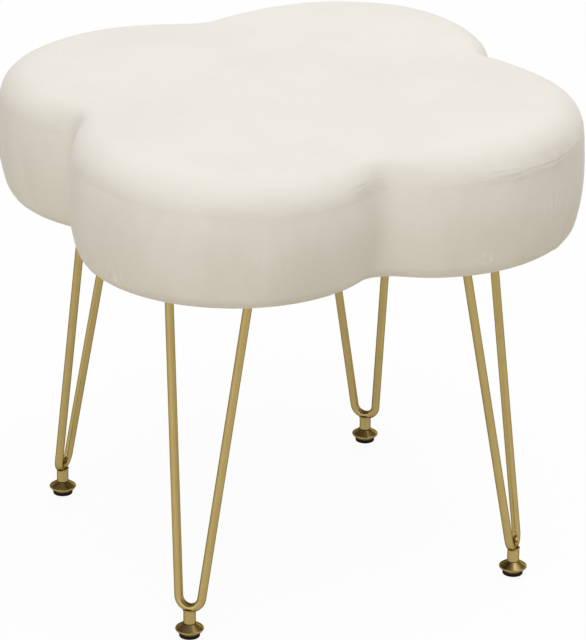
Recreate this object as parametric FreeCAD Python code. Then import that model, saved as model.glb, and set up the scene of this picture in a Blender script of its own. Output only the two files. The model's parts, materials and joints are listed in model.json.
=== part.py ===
import FreeCAD, Part
import math
import os

# A low footstool: a stuffed velvet seat shaped like a flower of four petals, on four brass hairpin legs.
# Each leg is one rod bent like a hairpin, under its own petal, with a screw-in levelling glide as its foot.
# Millimetres, +Z up. The origin is on the floor under the middle of the seat.

Vector = FreeCAD.Vector
UP = Vector(0, 0, 1)

# The leg of each petal, and the turn from +X to it, in degrees
LEG_TURNS = {"right": 0.0, "rear": 90.0, "left": 180.0, "front": 270.0}

# Seat
SEAT_HEIGHT = 400.0          # floor to the crown of the top
SEAT_THICKNESS = 111.5       # underside of the cover to the crown
PETAL_OFFSET = 115.0         # middle of the seat to the middle of a petal's arc
PETAL_RADIUS = 127.0         # petal's arc where the side is fullest
NOTCH_RADIUS = 16.6          # hollow arc between two petals, at the same height
SEAM_HEIGHT = 372.0          # floor to the seam of top panel and side band
SHOULDER_RISE = 23.0         # the top panel turns over in a soft shoulder above the seam
SHOULDER_WIDTH = 20.0
FULLEST_HEIGHT = 345.0       # floor to where the side is fullest
SIDE_SWELL = 9.0             # how far the side swells out from its bottom edge to there
BOTTOM_ROUND = 12.6          # rounding of the bottom edge
COVER_THICKNESS = 1.5        # velvet and its backing
FOAM_GAP = 0.3               # foam to cover, and foam to board
FOAM_LIP_LIFT = 3.0          # the foam that wraps the board's edge ends this far above its underside
TURN_UNDER = 20.0            # width of the cover's margin, folded under the board
ROUNDING_TURNS = [math.radians(turn) for turn in (0, 30, 60, 90)]  # sections round an edge
WALL_STEPS = 4               # sections between the bottom edge and the shoulder
CROWN_SCALES = (1.0, 0.86, 0.66, 0.42, 0.16)  # sections from the shoulder to the flat middle of the top

# Board, dust cover and staples
BOARD_THICKNESS = 12.0
BOARD_EDGE_GAP = 0.9         # board to the inside of the folded cover
DUST_THICKNESS = 0.5
DUST_INSET = 6.0             # from the bottom outline of the cover to the edge of the dust cover
DUST_WALL_GAP = 0.5          # from the cover's margin to the step of the dust cover
STAPLE_CROWN = 10.0
STAPLE_LEG = 6.0
STAPLE_WIDTH = 1.2
STAPLE_WIRE = 0.6
STAPLE_CLEARANCE = 0.1       # cover staples to the dust cover below them
COVER_STAPLES = 44
COVER_STAPLE_INSET = 14.0    # from the bottom outline of the cover
DUST_STAPLES = 28
DUST_STAPLE_INSET = 9.0

# Leg plates, their screws and the tee nuts in the board
PLATE_THICKNESS = 3.0
PLATE_INNER = 125.0          # middle of the seat to the near and far edge of a plate
PLATE_OUTER = 185.0
PLATE_WIDTH = 92.0
PLATE_CORNER = 8.0
PLATE_HOLE = 6.6
SCREW_PLACES = ((137.0, 33.0), (137.0, -33.0), (174.0, 18.0), (174.0, -18.0))  # out from the middle, across
SCREW_DIAMETER = 6.0
SCREW_LENGTH = 13.5
HEAD_DIAMETER = 11.0
HEAD_HEIGHT = 3.3
HEAD_ROUND = 2.0
SOCKET_ACROSS = 4.0          # hexagon socket, across its flats
SOCKET_DEPTH = 2.0
TEE_FLANGE_DIAMETER = 19.0
TEE_FLANGE_THICKNESS = 1.2
TEE_BARREL_DIAMETER = 7.8
TEE_LENGTH = 10.0
TEE_BORE = 6.1

# Hairpin rods
ROD_DIAMETER = 7.0
FOOT_CIRCLE = 201.5          # middle of the seat to the middle of a foot
ROD_TOP_CIRCLE = 161.9       # middle of the seat to the rod's two shanks, where they meet the plate
ROD_TOP_SPREAD = 68.4        # between the two shanks at the plate
BEND_RADIUS = 9.8            # centreline of the bend
BEND_HEIGHT = 24.6           # floor to the centreline at the lowest point of the bend

# Sleeve under the bend, and the glide that screws into it
SLEEVE_DIAMETER = 9.8
SLEEVE_LAP = 1.6             # how far the sleeve reaches up around the rod
THREAD_DIAMETER = 6.0
THREAD_CLEARANCE = 0.05      # all round the stud
STUD_LENGTH = 13.5
STUD_END_GAP = 0.4           # stud to the end of the sleeve's bore
SKIRT_DIAMETER = 22.6
SKIRT_EDGE_HEIGHT = 6.6      # floor to the widest edge
SKIRT_EDGE_ROUND = 0.8       # half of the rounded edge's height
SKIRT_TOP_HEIGHT = 11.5
SKIRT_TOP_DIAMETER = 10.2
SKIRT_RIM_HEIGHT = 3.6
SKIRT_RIM_DIAMETER = 18.0
SLEEVE_GAP = 0.5             # glide to sleeve when the glide is screwed home
PAD_DIAMETER = 16.6
PAD_THICKNESS = 4.0
PAD_GAP = 0.25               # pad to the recess in the skirt
PAD_EDGE_ROUND = 0.6
PIVOT_DIAMETER = 4.0         # the pad's boss, on which the skirt turns
PIVOT_CLEARANCE = 0.06
PIVOT_HEIGHT = 1.6

# Heights that follow from the sizes above
SEAT_BOTTOM = SEAT_HEIGHT - SEAT_THICKNESS
SHOULDER_TOP = SEAM_HEIGHT + SHOULDER_RISE
CROWN = SEAT_HEIGHT - SHOULDER_TOP
BOARD_BOTTOM = SEAT_BOTTOM + COVER_THICKNESS
BOARD_TOP = BOARD_BOTTOM + BOARD_THICKNESS
DUST_CENTRE_BOTTOM = BOARD_BOTTOM - DUST_THICKNESS
DUST_RING_TOP = SEAT_BOTTOM - STAPLE_WIRE - STAPLE_CLEARANCE
DUST_RING_BOTTOM = DUST_RING_TOP - DUST_THICKNESS
PLATE_TOP = DUST_CENTRE_BOTTOM
PLATE_BOTTOM = PLATE_TOP - PLATE_THICKNESS
SLEEVE_BOTTOM = SKIRT_TOP_HEIGHT + SLEEVE_GAP
SLEEVE_TOP = BEND_HEIGHT - ROD_DIAMETER / 2 + SLEEVE_LAP
STUD_BOTTOM = PAD_THICKNESS + PAD_GAP + PIVOT_HEIGHT
STUD_TOP = STUD_BOTTOM + STUD_LENGTH

# Insets from the fullest outline of the seat
BOTTOM_INSET = SIDE_SWELL + BOTTOM_ROUND
MARGIN_INSET = BOTTOM_INSET + TURN_UNDER
BOARD_INSET = BOTTOM_INSET + BOARD_EDGE_GAP
DUST_STEP_INSET = MARGIN_INSET + DUST_WALL_GAP

# The hollow arc between two petals touches both of them, so its middle lies on the diagonal
PETAL_DIAGONAL = PETAL_OFFSET / math.sqrt(2)
NOTCH_OFFSET = PETAL_DIAGONAL + math.sqrt((PETAL_RADIUS + NOTCH_RADIUS) ** 2 - PETAL_DIAGONAL ** 2)
PETAL_HALF_ANGLE = math.degrees(
    math.atan2(NOTCH_OFFSET / math.sqrt(2), NOTCH_OFFSET / math.sqrt(2) - PETAL_OFFSET)
)


def polar(radius, turn, height=0.0):
    """The point at a distance and a turn from the Z axis."""
    angle = math.radians(turn)
    return Vector(radius * math.cos(angle), radius * math.sin(angle), height)


def arc(centre, radius, start, end):
    """A level arc about a centre, between two turns in degrees."""
    turns = (start, (start + end) / 2, end)
    return Part.Arc(*[centre + polar(radius, turn) for turn in turns]).toShape()


def seat_outline(height, inset=0.0, scale=1.0):
    """The flower's outline at one height, as a petal arc and a hollow arc in each quarter."""
    edges = []
    for quarter in range(4):
        turn = quarter * 90.0
        petal_middle = polar(scale * PETAL_OFFSET, turn, height)
        notch_middle = polar(scale * NOTCH_OFFSET, turn + 45.0, height)
        petal_radius = scale * (PETAL_RADIUS - inset)
        notch_radius = scale * (NOTCH_RADIUS + inset)
        edges.append(arc(petal_middle, petal_radius, turn - PETAL_HALF_ANGLE, turn + PETAL_HALF_ANGLE))
        edges.append(
            arc(notch_middle, notch_radius, turn + 180.0 + PETAL_HALF_ANGLE, turn + 270.0 - PETAL_HALF_ANGLE)
        )
    return Part.Wire(edges)


def seat_prism(bottom, top, inset):
    """A straight block of the flower's outline."""
    return Part.Face(seat_outline(bottom, inset)).extrude(Vector(0, 0, top - bottom))


def cylinder(diameter, bottom, top, place=Vector()):
    """An upright cylinder between two heights."""
    return Part.makeCylinder(diameter / 2, top - bottom, place + Vector(0, 0, bottom), UP)


def turned(profile, place):
    """A solid turned about the upright axis through a place, from points or arcs of (radius, height)."""
    edges = []
    for start, *middle, end in profile:
        points = [place + Vector(radius, 0, height) for radius, height in (start, *middle, end)]
        edges.append(Part.Arc(*points).toShape() if middle else Part.LineSegment(*points).toShape())
    return Part.Face(Part.Wire(edges)).revolve(place, UP, 360)


def cushion_form(depth):
    """The stuffed seat's form, at a depth inside the outer face of its cover.

    The side swells above a rounded bottom edge, the shoulder turns over in part of an ellipse,
    and the top rises to a crown.
    """
    bottom = SEAT_BOTTOM + depth
    top = SHOULDER_TOP - depth
    bottom_round = BOTTOM_ROUND - depth
    shoulder_rise = SHOULDER_RISE - depth
    shoulder_width = SHOULDER_WIDTH - depth

    def side_inset(height):
        from_fullest = (height - FULLEST_HEIGHT) / (FULLEST_HEIGHT - SEAT_BOTTOM)
        return depth + SIDE_SWELL * from_fullest ** 2

    levels = []
    for turn in ROUNDING_TURNS[:-1]:
        height = bottom + bottom_round * (1 - math.cos(turn))
        levels.append((height, side_inset(height) + bottom_round * (1 - math.sin(turn))))
    wall_bottom = bottom + bottom_round
    wall_height = SEAM_HEIGHT - wall_bottom
    for step in range(WALL_STEPS + 1):
        height = wall_bottom + wall_height * step / WALL_STEPS
        levels.append((height, side_inset(height)))
    for turn in ROUNDING_TURNS[1:]:
        height = SEAM_HEIGHT + shoulder_rise * math.sin(turn)
        levels.append((height, side_inset(height) + shoulder_width * (1 - math.cos(turn))))
    side = Part.makeLoft([seat_outline(height, inset) for height, inset in levels], True)

    shoulder_inset = levels[-1][1]
    crown_outlines = []
    for scale in CROWN_SCALES:
        rise = CROWN * (1 - scale ** 2) / (1 - CROWN_SCALES[-1] ** 2)
        crown_outlines.append(seat_outline(top + rise, shoulder_inset, scale))
    return side.fuse(Part.makeLoft(crown_outlines, True))


def cover_panels():
    """The velvet cover: a top panel sewn to a side band, whose margin is folded under the board."""
    cover = cushion_form(0.0).cut(cushion_form(COVER_THICKNESS))
    cover = cover.cut(seat_prism(SEAT_BOTTOM, BOARD_TOP, MARGIN_INSET))
    reach = 2 * (PETAL_OFFSET + PETAL_RADIUS)
    above_seam = Part.makeBox(reach, reach, SEAT_THICKNESS, Vector(-reach / 2, -reach / 2, SEAM_HEIGHT))
    return cover.common(above_seam), cover.cut(above_seam)


def foam_core():
    """The foam: it fills the cover, sits on the board and wraps the board's edge."""
    foam = cushion_form(COVER_THICKNESS + FOAM_GAP)
    foam = foam.cut(seat_prism(SEAT_BOTTOM, BOARD_TOP, BOARD_INSET - FOAM_GAP))
    return foam.cut(seat_prism(SEAT_BOTTOM, BOARD_BOTTOM + FOAM_LIP_LIFT, 0.0))


def screw_points():
    """Every screw's place under the seat."""
    return [
        polar(out, turn) + polar(across, turn + 90.0)
        for turn in LEG_TURNS.values()
        for out, across in SCREW_PLACES
    ]


def tee_nut(place):
    """A flanged nut let into the top of the board, with its barrel down in the wood."""
    flange = cylinder(TEE_FLANGE_DIAMETER, BOARD_TOP - TEE_FLANGE_THICKNESS, BOARD_TOP, place)
    barrel = cylinder(TEE_BARREL_DIAMETER, BOARD_TOP - TEE_LENGTH, BOARD_TOP, place)
    bore = cylinder(TEE_BORE, BOARD_TOP - TEE_LENGTH, BOARD_TOP, place)
    return flange.fuse(barrel).cut(bore)


def base_board():
    """The plywood board, drilled for the tee nuts and recessed for their flanges."""
    board = seat_prism(BOARD_BOTTOM, BOARD_TOP, BOARD_INSET)
    for place in screw_points():
        board = board.cut(cylinder(TEE_BARREL_DIAMETER, BOARD_BOTTOM, BOARD_TOP, place))
        board = board.cut(cylinder(TEE_FLANGE_DIAMETER, BOARD_TOP - TEE_FLANGE_THICKNESS, BOARD_TOP, place))
    return board


def dust_cover():
    """Thin black cloth under the seat: flat on the board, stepped down over the cover's margin."""
    ring = seat_prism(DUST_RING_BOTTOM, DUST_RING_TOP, BOTTOM_INSET + DUST_INSET)
    pan = seat_prism(DUST_RING_BOTTOM, BOARD_BOTTOM, DUST_STEP_INSET)
    hollow = seat_prism(DUST_RING_BOTTOM, DUST_CENTRE_BOTTOM, DUST_STEP_INSET + DUST_THICKNESS)
    cloth = ring.fuse(pan).cut(hollow)
    for place in screw_points():
        cloth = cloth.cut(cylinder(PLATE_HOLE, DUST_RING_BOTTOM, BOARD_BOTTOM, place))
    return cloth


def staple_row(count, inset, crown_top):
    """A row of staples driven up into the board, along the seat's outline at an inset."""
    points = seat_outline(0.0, inset).discretize(Number=count + 1)[:-1]
    row = []
    for index, point in enumerate(points):
        along = points[(index + 1) % count] - points[index - 1]
        crown_bottom = crown_top - STAPLE_WIRE
        staple = Part.makeBox(STAPLE_CROWN, STAPLE_WIDTH, STAPLE_WIRE)
        for end in (0.0, STAPLE_CROWN - STAPLE_WIRE):
            staple = staple.fuse(Part.makeBox(STAPLE_WIRE, STAPLE_WIDTH, STAPLE_LEG, Vector(end, 0, 0)))
        staple.translate(Vector(-STAPLE_CROWN / 2, -STAPLE_WIDTH / 2, crown_bottom))
        staple.rotate(Vector(), UP, math.degrees(math.atan2(along.y, along.x)))
        staple.translate(point)
        row.append(staple)
    return Part.makeCompound(row)


def leg_plate():
    """The flat plate that carries the right leg's rod, drilled for four screws."""
    size = (PLATE_OUTER - PLATE_INNER, PLATE_WIDTH, PLATE_THICKNESS)
    plate = Part.makeBox(*size, Vector(PLATE_INNER, -PLATE_WIDTH / 2, PLATE_BOTTOM))
    corners = [edge for edge in plate.Edges if abs(edge.tangentAt(edge.FirstParameter).z) > 0.5]
    plate = plate.makeFillet(PLATE_CORNER, corners)
    for out, across in SCREW_PLACES:
        plate = plate.cut(cylinder(PLATE_HOLE, PLATE_BOTTOM, PLATE_TOP, Vector(out, across, 0)))
    return plate


def leg_screws():
    """The right leg's four socket screws, heads down under the plate."""
    screws = []
    for out, across in SCREW_PLACES:
        place = Vector(out, across, 0)
        head_bottom = PLATE_BOTTOM - HEAD_HEIGHT
        head = cylinder(HEAD_DIAMETER, head_bottom, PLATE_BOTTOM, place)
        lower_rim = min(head.Edges, key=lambda edge: (edge.BoundBox.ZMax, -edge.Length))
        head = head.makeFillet(HEAD_ROUND, [lower_rim])
        flats = SOCKET_ACROSS / math.sqrt(3)
        corners = [place + polar(flats, 60.0 * corner, head_bottom) for corner in range(7)]
        socket = Part.Face(Part.makePolygon(corners)).extrude(Vector(0, 0, SOCKET_DEPTH))
        shank = cylinder(SCREW_DIAMETER, PLATE_BOTTOM, PLATE_BOTTOM + SCREW_LENGTH, place)
        screws.append(head.cut(socket).fuse(shank))
    return Part.makeCompound(screws)


def leg_rod():
    """The right leg's rod: two shanks that spread upwards from one tight bend, trimmed flat at the plate."""
    foot = Vector(FOOT_CIRCLE, 0, BEND_HEIGHT)
    top = Vector(ROD_TOP_CIRCLE, 0, PLATE_BOTTOM)
    along = (top - foot).normalize()
    across = Vector(0, 1, 0)
    length = (top - foot).Length

    # A shank leans so that it leaves the bend straight on and meets the plate at half the spread
    rise = length - BEND_RADIUS
    half_spread = ROD_TOP_SPREAD / 2
    lean = math.acos(BEND_RADIUS / math.hypot(half_spread, rise)) - math.atan2(rise, half_spread)
    overrun = ROD_DIAMETER
    bend_out = BEND_RADIUS * math.cos(lean)
    bend_up = BEND_RADIUS * (1 - math.sin(lean))
    top_out = half_spread + overrun * math.tan(lean)
    top_up = length + overrun

    def place(out, up):
        return foot + across * out + along * up

    path = Part.Wire([
        Part.LineSegment(place(-top_out, top_up), place(-bend_out, bend_up)).toShape(),
        Part.Arc(place(-bend_out, bend_up), foot, place(bend_out, bend_up)).toShape(),
        Part.LineSegment(place(bend_out, bend_up), place(top_out, top_up)).toShape(),
    ])
    start = place(-top_out, top_up)
    section = Part.Wire(Part.makeCircle(ROD_DIAMETER / 2, start, place(-bend_out, bend_up) - start))
    rod = path.makePipeShell([section], True, False)
    above_plate = Part.makeBox(
        PLATE_OUTER, 2 * PLATE_WIDTH, 4 * overrun, Vector(PLATE_INNER / 2, -PLATE_WIDTH, PLATE_BOTTOM)
    )
    return rod.cut(above_plate)


def leg_sleeve(rod):
    """The threaded sleeve welded under the right leg's bend, hollowed at its top to seat the rod."""
    place = Vector(FOOT_CIRCLE, 0, 0)
    sleeve = cylinder(SLEEVE_DIAMETER, SLEEVE_BOTTOM, SLEEVE_TOP, place)
    bore = cylinder(THREAD_DIAMETER + 2 * THREAD_CLEARANCE, SLEEVE_BOTTOM, STUD_TOP + STUD_END_GAP, place)
    return sleeve.cut(bore).cut(rod)


def glide_stud():
    """The threaded stud of the right leg's glide, fixed in the skirt, at its thread's outer size."""
    return cylinder(THREAD_DIAMETER, STUD_BOTTOM, STUD_TOP, Vector(FOOT_CIRCLE, 0, 0))


def glide_skirt():
    """The right leg's glide: two cones meeting in a rounded edge, hollowed below for the pad."""
    top = (SKIRT_TOP_DIAMETER / 2, SKIRT_TOP_HEIGHT)
    edge_top = (SKIRT_DIAMETER / 2 - SKIRT_EDGE_ROUND / 2, SKIRT_EDGE_HEIGHT + SKIRT_EDGE_ROUND)
    edge = (SKIRT_DIAMETER / 2, SKIRT_EDGE_HEIGHT)
    edge_bottom = (SKIRT_DIAMETER / 2 - SKIRT_EDGE_ROUND / 2, SKIRT_EDGE_HEIGHT - SKIRT_EDGE_ROUND)
    rim = (SKIRT_RIM_DIAMETER / 2, SKIRT_RIM_HEIGHT)
    recess_radius = PAD_DIAMETER / 2 + PAD_GAP
    recess_top = PAD_THICKNESS + PAD_GAP
    pivot_radius = PIVOT_DIAMETER / 2 + PIVOT_CLEARANCE
    corners = [
        rim,
        (recess_radius, SKIRT_RIM_HEIGHT),
        (recess_radius, recess_top),
        (pivot_radius, recess_top),
        (pivot_radius, STUD_BOTTOM),
        (THREAD_DIAMETER / 2, STUD_BOTTOM),
        (THREAD_DIAMETER / 2, SKIRT_TOP_HEIGHT),
        top,
        edge_top,
    ]
    profile = list(zip(corners, corners[1:]))
    profile += [(edge_top, edge, edge_bottom), (edge_bottom, rim)]
    return turned(profile, Vector(FOOT_CIRCLE, 0, 0))


def glide_pad():
    """The right leg's pad, which stays on the floor while the skirt turns on its boss."""
    radius = PAD_DIAMETER / 2
    boss_radius = PIVOT_DIAMETER / 2
    boss_top = PAD_THICKNESS + PIVOT_HEIGHT
    corner = PAD_EDGE_ROUND * (1 - math.sqrt(0.5))
    foot_edge = (radius - PAD_EDGE_ROUND, 0.0)
    side_edge = (radius, PAD_EDGE_ROUND)
    corners = [
        side_edge,
        (radius, PAD_THICKNESS),
        (boss_radius, PAD_THICKNESS),
        (boss_radius, boss_top),
        (0.0, boss_top),
        (0.0, 0.0),
        foot_edge,
    ]
    profile = list(zip(corners, corners[1:]))
    profile.append((foot_edge, (radius - corner, corner), side_edge))
    return turned(profile, Vector(FOOT_CIRCLE, 0, 0))


def stool_pieces():
    """Every piece of the stool, by name."""
    top_panel, side_band = cover_panels()
    pieces = {
        "cover_top_panel": top_panel,
        "cover_side_band": side_band,
        "foam_core": foam_core(),
        "base_board": base_board(),
        "tee_nuts": Part.makeCompound([tee_nut(place) for place in screw_points()]),
        "dust_cover": dust_cover(),
        "cover_staples": staple_row(COVER_STAPLES, BOTTOM_INSET + COVER_STAPLE_INSET, SEAT_BOTTOM),
        "dust_cover_staples": staple_row(DUST_STAPLES, BOTTOM_INSET + DUST_STAPLE_INSET, DUST_RING_BOTTOM),
    }
    rod = leg_rod()
    leg = {
        "leg_plate": leg_plate(),
        "leg_screws": leg_screws(),
        "leg_rod": rod,
        "leg_sleeve": leg_sleeve(rod),
        "glide_stud": glide_stud(),
        "glide_skirt": glide_skirt(),
        "glide_pad": glide_pad(),
    }
    for side, turn in LEG_TURNS.items():
        for name, shape in leg.items():
            pieces[f"{side}_{name}"] = shape.rotated(Vector(), UP, turn)
    return pieces


os.makedirs("parts", exist_ok=True)
for name, shape in stool_pieces().items():
    shape.exportStep(f"parts/{name}.step")
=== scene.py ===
"""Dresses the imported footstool: an ivory velvet seat with four petals on brass hairpin legs and glides.

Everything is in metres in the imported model's frame, with +Z up and -Y at the front.
"""
import json
import math

import bpy
import numpy as np
from mathutils import Matrix, Vector

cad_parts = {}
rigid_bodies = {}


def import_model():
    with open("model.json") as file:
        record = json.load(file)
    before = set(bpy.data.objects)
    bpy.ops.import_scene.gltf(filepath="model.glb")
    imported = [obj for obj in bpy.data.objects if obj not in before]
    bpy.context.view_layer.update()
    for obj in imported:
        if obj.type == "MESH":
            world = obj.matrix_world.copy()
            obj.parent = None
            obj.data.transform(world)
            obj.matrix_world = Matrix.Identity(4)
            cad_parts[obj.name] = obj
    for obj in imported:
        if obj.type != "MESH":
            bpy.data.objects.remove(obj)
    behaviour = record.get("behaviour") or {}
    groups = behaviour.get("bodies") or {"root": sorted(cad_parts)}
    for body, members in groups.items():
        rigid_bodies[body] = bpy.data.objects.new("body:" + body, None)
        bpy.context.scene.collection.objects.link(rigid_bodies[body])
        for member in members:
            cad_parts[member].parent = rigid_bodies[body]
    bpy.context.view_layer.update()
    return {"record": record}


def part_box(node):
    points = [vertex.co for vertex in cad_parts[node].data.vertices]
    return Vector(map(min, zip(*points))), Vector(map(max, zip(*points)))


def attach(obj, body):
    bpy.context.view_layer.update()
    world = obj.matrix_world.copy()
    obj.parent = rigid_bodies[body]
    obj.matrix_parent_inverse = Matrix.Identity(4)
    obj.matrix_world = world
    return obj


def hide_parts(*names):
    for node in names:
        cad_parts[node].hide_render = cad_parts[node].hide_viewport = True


for leftover in list(bpy.data.objects):
    bpy.data.objects.remove(leftover)
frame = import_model()

MM = 0.001
LEG_TURNS = {"right": 0, "rear": 90, "left": 180, "front": 270}
NOTCH_AZIMUTHS = (-135, -45, 45, 135)

# Seat outline: four petals, each an arc about its own centre, joined by small hollow arcs.
PETAL_OFFSET = 115 * MM
PETAL_RADIUS = 127 * MM
NOTCH_RADIUS = 16.6 * MM
SEAT_REACH = PETAL_OFFSET + PETAL_RADIUS
PETAL_DIAGONAL = PETAL_OFFSET / math.sqrt(2)
NOTCH_OFFSET = PETAL_DIAGONAL + math.sqrt((PETAL_RADIUS + NOTCH_RADIUS) ** 2 - PETAL_DIAGONAL ** 2)
PETAL_HALF_ANGLE = math.atan2(NOTCH_OFFSET / math.sqrt(2), NOTCH_OFFSET / math.sqrt(2) - PETAL_OFFSET)

# Seat section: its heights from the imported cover, and the curves between them.
SEAT_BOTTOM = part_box("cover_side_band")[0][2]
SEAM_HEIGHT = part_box("cover_side_band")[1][2]
SEAT_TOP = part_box("cover_top_panel")[1][2]
SHOULDER_RISE = 23 * MM
SHOULDER_WIDTH = 20 * MM
CROWN = SEAT_TOP - SEAM_HEIGHT - SHOULDER_RISE
FULLEST_HEIGHT = 345 * MM
SIDE_SWELL = 9 * MM
BOTTOM_ROUND = 12.6 * MM
TURN_UNDER = 20 * MM
COVER_THICKNESS = 1.2 * MM
FOAM_POCKET = 21.7 * MM   # how far inside the outline the foam steps up onto the board
FOAM_LIP = 3 * MM         # how far the foam's lower edge stands out from that step
MIDDLE_SCALE = 0.04       # size of the innermost ring of the top panel

# How the stuffing has settled. Angles are round the seat, in degrees from the right.
SIDE_FULLNESS = 1 * MM    # how far the stuffing pushes the sides out beyond their cut
STUFFING_LIFT = 2.0 * MM  # how far the stuffing stands above its cut in the middle,
LIFT_TO_RIGHT = 3.4 * MM  # how much more at the right end,
LIFT_TO_BACK = 1.8 * MM   # and how much more at the back
END_ROUNDING = 3.2 * MM   # how far the bottom edge is drawn up at the right and left ends
FRONT_DROOP = 11 * MM     # how far the top's edge droops beside the front notch,
DROOP_AZIMUTH = -55       # where it droops most,
DROOP_SPREAD = 35         # how far that spreads round the seat,
DROOP_ON_TOP = 60 * MM    # how far it reaches up the top beyond the shoulder,
DROOP_ON_SIDE = 38 * MM   # and down the side
NOTCH_FILL = 4.5 * MM     # how far the top panel is drawn straight across the shoulder at each notch,
NOTCH_FILL_SPREAD = 8     # how far that spreads round the seat,
NOTCH_FILL_MIDDLE = 18 * MM  # how far above the seam it is fullest,
NOTCH_FILL_REACH = 11 * MM   # and how far it reaches from there

# Sewing.
GROOVE_DEPTH = 0.3 * MM
GROOVE_WIDTH = 0.9 * MM
SEAM_TUCK = 1.2 * MM
SEAM_STAND = 1.0 * MM     # the seam's folded allowance makes the edge stand proud
SEAM_STAND_REACH = 6 * MM
SEAM_GAP = 0.03 * MM
TIGHT_AZIMUTH = -6        # where the seam is sewn tightest
TIGHT_SPREAD = 17
TIGHT_LEAST = 0.15        # how tight it is elsewhere
PUCKER_HEIGHT = 0.28 * MM
PUCKER_REACH = 7 * MM
PUCKER_SLANT = 0.9
PUCKER_AZIMUTH = -10      # where the seam is puckered most, besides the notches
PUCKER_SPREAD = 18
PUCKER_NOTCH_SPREAD = 7
GATHER_HEIGHT = 0.3 * MM
GATHER_REACH = 9 * MM
UNEVEN_HEIGHT = 0.5 * MM
UNEVEN_LENGTHS = (50 * MM, 140 * MM)
UNEVEN_FROM_SEAM = 12 * MM

# Where the velvet's nap is crushed: place, reach and strength. Where its seam is puckered: place and reach.
CRUSHED_PLACES = (
    ((237 * MM, -36 * MM, 338 * MM), 24 * MM, 1.0),
    ((198 * MM, -90 * MM, 305 * MM), 13 * MM, 1.0),
    ((74 * MM, -217 * MM, 326 * MM), 34 * MM, 0.2),
    ((-197 * MM, 0, 396 * MM), 16 * MM, 0.5),
    ((-51 * MM, -226 * MM, 304 * MM), 14 * MM, 0.8),
)
PUCKERED_PLACES = (
    ((225 * MM, -54 * MM, 376 * MM), 42 * MM),
    ((207 * MM, -82 * MM, 375 * MM), 30 * MM),
    ((122 * MM, -143 * MM, 371 * MM), 30 * MM),
)

# Grids: points round a petal and round a notch on the fine cover, and every how many of them are used on the
# pattern that is blown up. Rows start close together at the seam and spread out to a largest step.
FINE_PETAL = 176
FINE_NOTCH = 16
COARSE_STEP = 4
SEAM_ROW = 0.08 * MM
ROW_GROWTH = 1.3
TOP_ROW = 5.5 * MM
SIDE_ROW = 2.2 * MM
PATTERN_TOP_ROWS = 26
PATTERN_SIDE_ROWS = 22

# Points along each stretch of the cover's section, from the flat of the top to the folded margin.
FLAT_POINTS = 80
SHOULDER_POINTS = 61
WALL_POINTS = 80
FOLD_POINTS = 31
MARGIN_POINTS = 11

# Cloth simulation of the stuffing.
STUFFING_PRESSURE = 4
STUFFING_FRAMES = 20
STUFFING_QUALITY = 6
STUFFING_BENDING = 0.5
STUFFING_EVENED = 14      # passes that even out the cloth's movement

# Lining under the board.
LINING_THICKNESS = 0.4 * MM
LINING_STEP = 14.5 * MM   # how far in from its edge it steps up, past the cover's folded margin
LINING_SLOPE_MIDDLE = 0.6 * MM  # how far beyond that it is half way up,
LINING_SLOPE_END = 1.6 * MM     # and all the way up
LINING_BELOW = 0.1 * MM   # room left below it and above it in the space of its solid
LINING_ABOVE = 0.05 * MM
LINING_EDGE_ROWS = 8
LINING_ROWS = 60
LINING_UNEVEN = 0.08 * MM
LINING_LENGTHS = (15 * MM, 60 * MM)

# Legs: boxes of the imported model, and the sizes of the rods and threads.
sleeve_low, sleeve_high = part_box("right_leg_sleeve")
SLEEVE_TOP = sleeve_high[2]
SLEEVE_RADIUS = (sleeve_high[0] - sleeve_low[0]) / 2
FOOT_CIRCLE = (sleeve_high[0] + sleeve_low[0]) / 2
PLATE_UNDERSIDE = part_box("right_leg_plate")[0][2]
stud_low, stud_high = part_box("right_glide_stud")
STUD_LOW = stud_low[2]
STUD_HIGH = stud_high[2]
STUD_RADIUS = (stud_high[0] - stud_low[0]) / 2
STUD_SIDES = 40
ROD_RADIUS = 3.5 * MM
ROD_TOP_CIRCLE = 161.9 * MM
ROD_TOP_SPREAD = 68.4 * MM
THREAD_PITCH = 1 * MM
THREAD_DEPTH = 0.5 * MM
THREAD_ROWS = 10          # rows of points in one turn of the thread
slides = [joint for joint in frame["record"]["behaviour"]["joints"] if joint["type"] == "slide"]
GLIDE_TRAVEL = max(joint["range_m"][1] for joint in slides)

# Weld beads: where a bead's middle runs, its radius, and how much that varies.
BEAD_ANGLES = np.linspace(0, 2 * math.pi, 96, endpoint=False)
BEAD_SIDES = 16
FOOT_WELD_INSET = 0.35 * MM   # inside the sleeve's wall,
FOOT_WELD_RISE = 0.45 * MM    # above its top,
FOOT_WELD_DIP = 1.0 * MM      # and lower under the two shanks
FOOT_WELD_RADIUS = 0.75 * MM
FOOT_WELD_UNEVEN = 0.2 * MM
ROD_WELD_STAND = 0.4 * MM     # out from the rod,
ROD_WELD_DROP = 0.3 * MM      # and below the plate
ROD_WELD_RADIUS = 1.25 * MM
ROD_WELD_RIPPLE = 0.18 * MM
ROD_WELD_RIPPLES = 15
ROD_WELD_UNEVEN = 0.15 * MM

# Studio. The floor lies lower than the pads at rest, so that screwed-out glides stand on it.
FLOOR_REACH = 12.0
FLOOR_GLOW = 0.94         # how much of the floor's white is its own light, where it is seen directly,
FLOOR_GLOW_MIRRORED = 0.6  # and where metal mirrors it
FLOOR_BOUNCE = (0.68, 0.625, 0.515)  # colour of the light that it throws back up
ROOM_LIGHT = 0.30
BAND_RADIUS = 1.6
BAND_ELEVATIONS = (20, 35, 50, 65, 78)
BAND_AZIMUTHS = range(30, 341, 10)
SOFTBOX_PLACE = (0.05, 0.3, 1.9)
SOFTBOX_SIZE = 1.6
SOFTBOX_POWER = 6.4
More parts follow.
